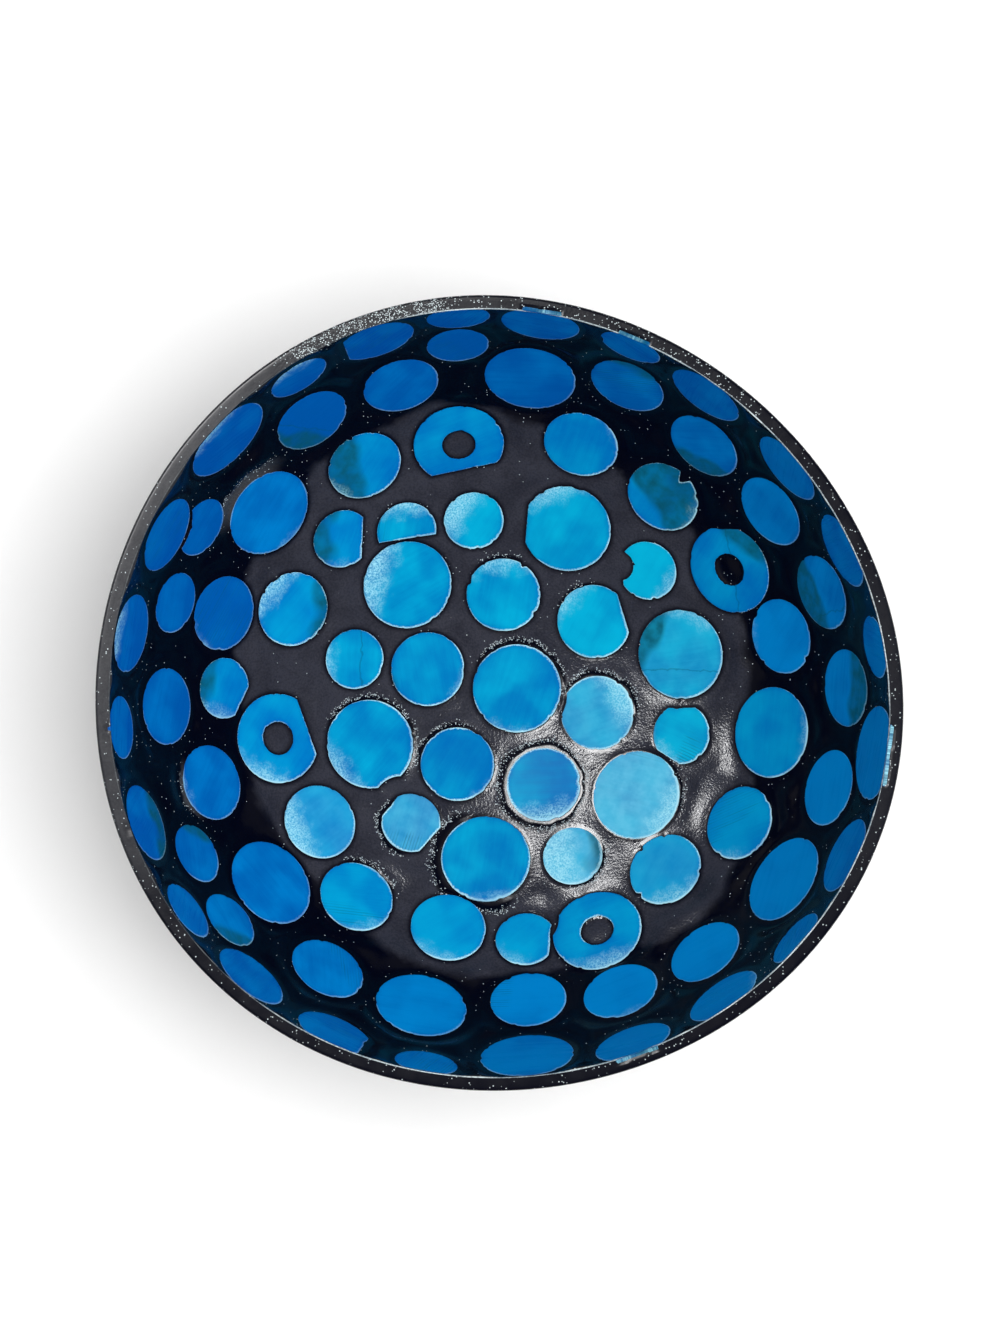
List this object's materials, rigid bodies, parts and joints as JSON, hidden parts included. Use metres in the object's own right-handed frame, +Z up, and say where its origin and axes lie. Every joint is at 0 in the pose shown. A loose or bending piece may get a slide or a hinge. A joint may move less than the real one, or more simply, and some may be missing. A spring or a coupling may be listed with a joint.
{
  "type": "coconut shell bowl",
  "caption": "Round bowl made from half a coconut shell, sanded flat underneath, lacquered black and lined inside with scattered blue mother-of-pearl discs.",
  "frame": {"origin": "middle of the bowl's foot, on the surface that it stands on", "axes": "+Z up out of the bowl's mouth, +X to the right and +Y away from someone who looks down into it as in the picture"},
  "size_m": [0.128, 0.126, 0.0484],
  "materials": {
    "coconut_shell": "sanded, bare only under the foot",
    "black_lacquer": "brushed and polished black lacquer with fine pinholes",
    "floor_pearl": "dyed mother of pearl, polished",
    "lower_pearl": "dyed mother of pearl, polished",
    "wall_pearl": "dyed mother of pearl, polished",
    "rim_pearl": "dyed mother of pearl, polished"
  },
  "bodies": {
    "root": {"coconut_shell": "coconut_shell", "outer_lacquer": "black_lacquer", "inner_lacquer": "black_lacquer", "floor_disc_1": "floor_pearl", "floor_disc_2": "floor_pearl", "floor_disc_3": "floor_pearl", "floor_disc_4": "floor_pearl", "floor_disc_5": "floor_pearl", "floor_disc_6": "floor_pearl", "floor_disc_7": "floor_pearl", "floor_disc_8": "floor_pearl", "floor_disc_9": "floor_pearl", "floor_disc_10": "floor_pearl", "floor_disc_11": "floor_pearl", "floor_disc_12": "floor_pearl", "floor_disc_13": "floor_pearl", "floor_disc_14": "floor_pearl", "floor_disc_15": "floor_pearl", "floor_disc_16": "floor_pearl", "floor_disc_17": "floor_pearl", "floor_disc_18": "floor_pearl", "floor_disc_19": "floor_pearl", "floor_disc_20": "floor_pearl", "pierced_disc_1": "lower_pearl", "pierced_disc_2": "lower_pearl", "pierced_disc_3": "lower_pearl", "pierced_disc_4": "lower_pearl", "lower_discs_1": "lower_pearl", "lower_discs_2": "lower_pearl", "lower_discs_3": "lower_pearl", "lower_discs_4": "lower_pearl", "lower_discs_5": "lower_pearl", "lower_discs_6": "lower_pearl", "lower_discs_7": "lower_pearl", "wall_discs_1": "wall_pearl", "wall_discs_2": "wall_pearl", "wall_discs_3": "wall_pearl", "wall_discs_4": "wall_pearl", "wall_discs_5": "wall_pearl", "wall_discs_6": "wall_pearl", "wall_discs_7": "wall_pearl", "wall_discs_8": "wall_pearl", "wall_discs_9": "wall_pearl", "wall_discs_10": "wall_pearl", "wall_discs_11": "wall_pearl", "wall_discs_12": "wall_pearl", "wall_discs_13": "wall_pearl", "rim_discs_1": "rim_pearl", "rim_discs_2": "rim_pearl", "rim_discs_3": "rim_pearl", "rim_discs_4": "rim_pearl", "rim_discs_5": "rim_pearl", "rim_discs_6": "rim_pearl", "rim_discs_7": "rim_pearl", "rim_discs_8": "rim_pearl", "rim_discs_9": "rim_pearl", "rim_discs_10": "rim_pearl", "rim_discs_11": "rim_pearl", "rim_discs_12": "rim_pearl"}
  },
  "joints": []
}
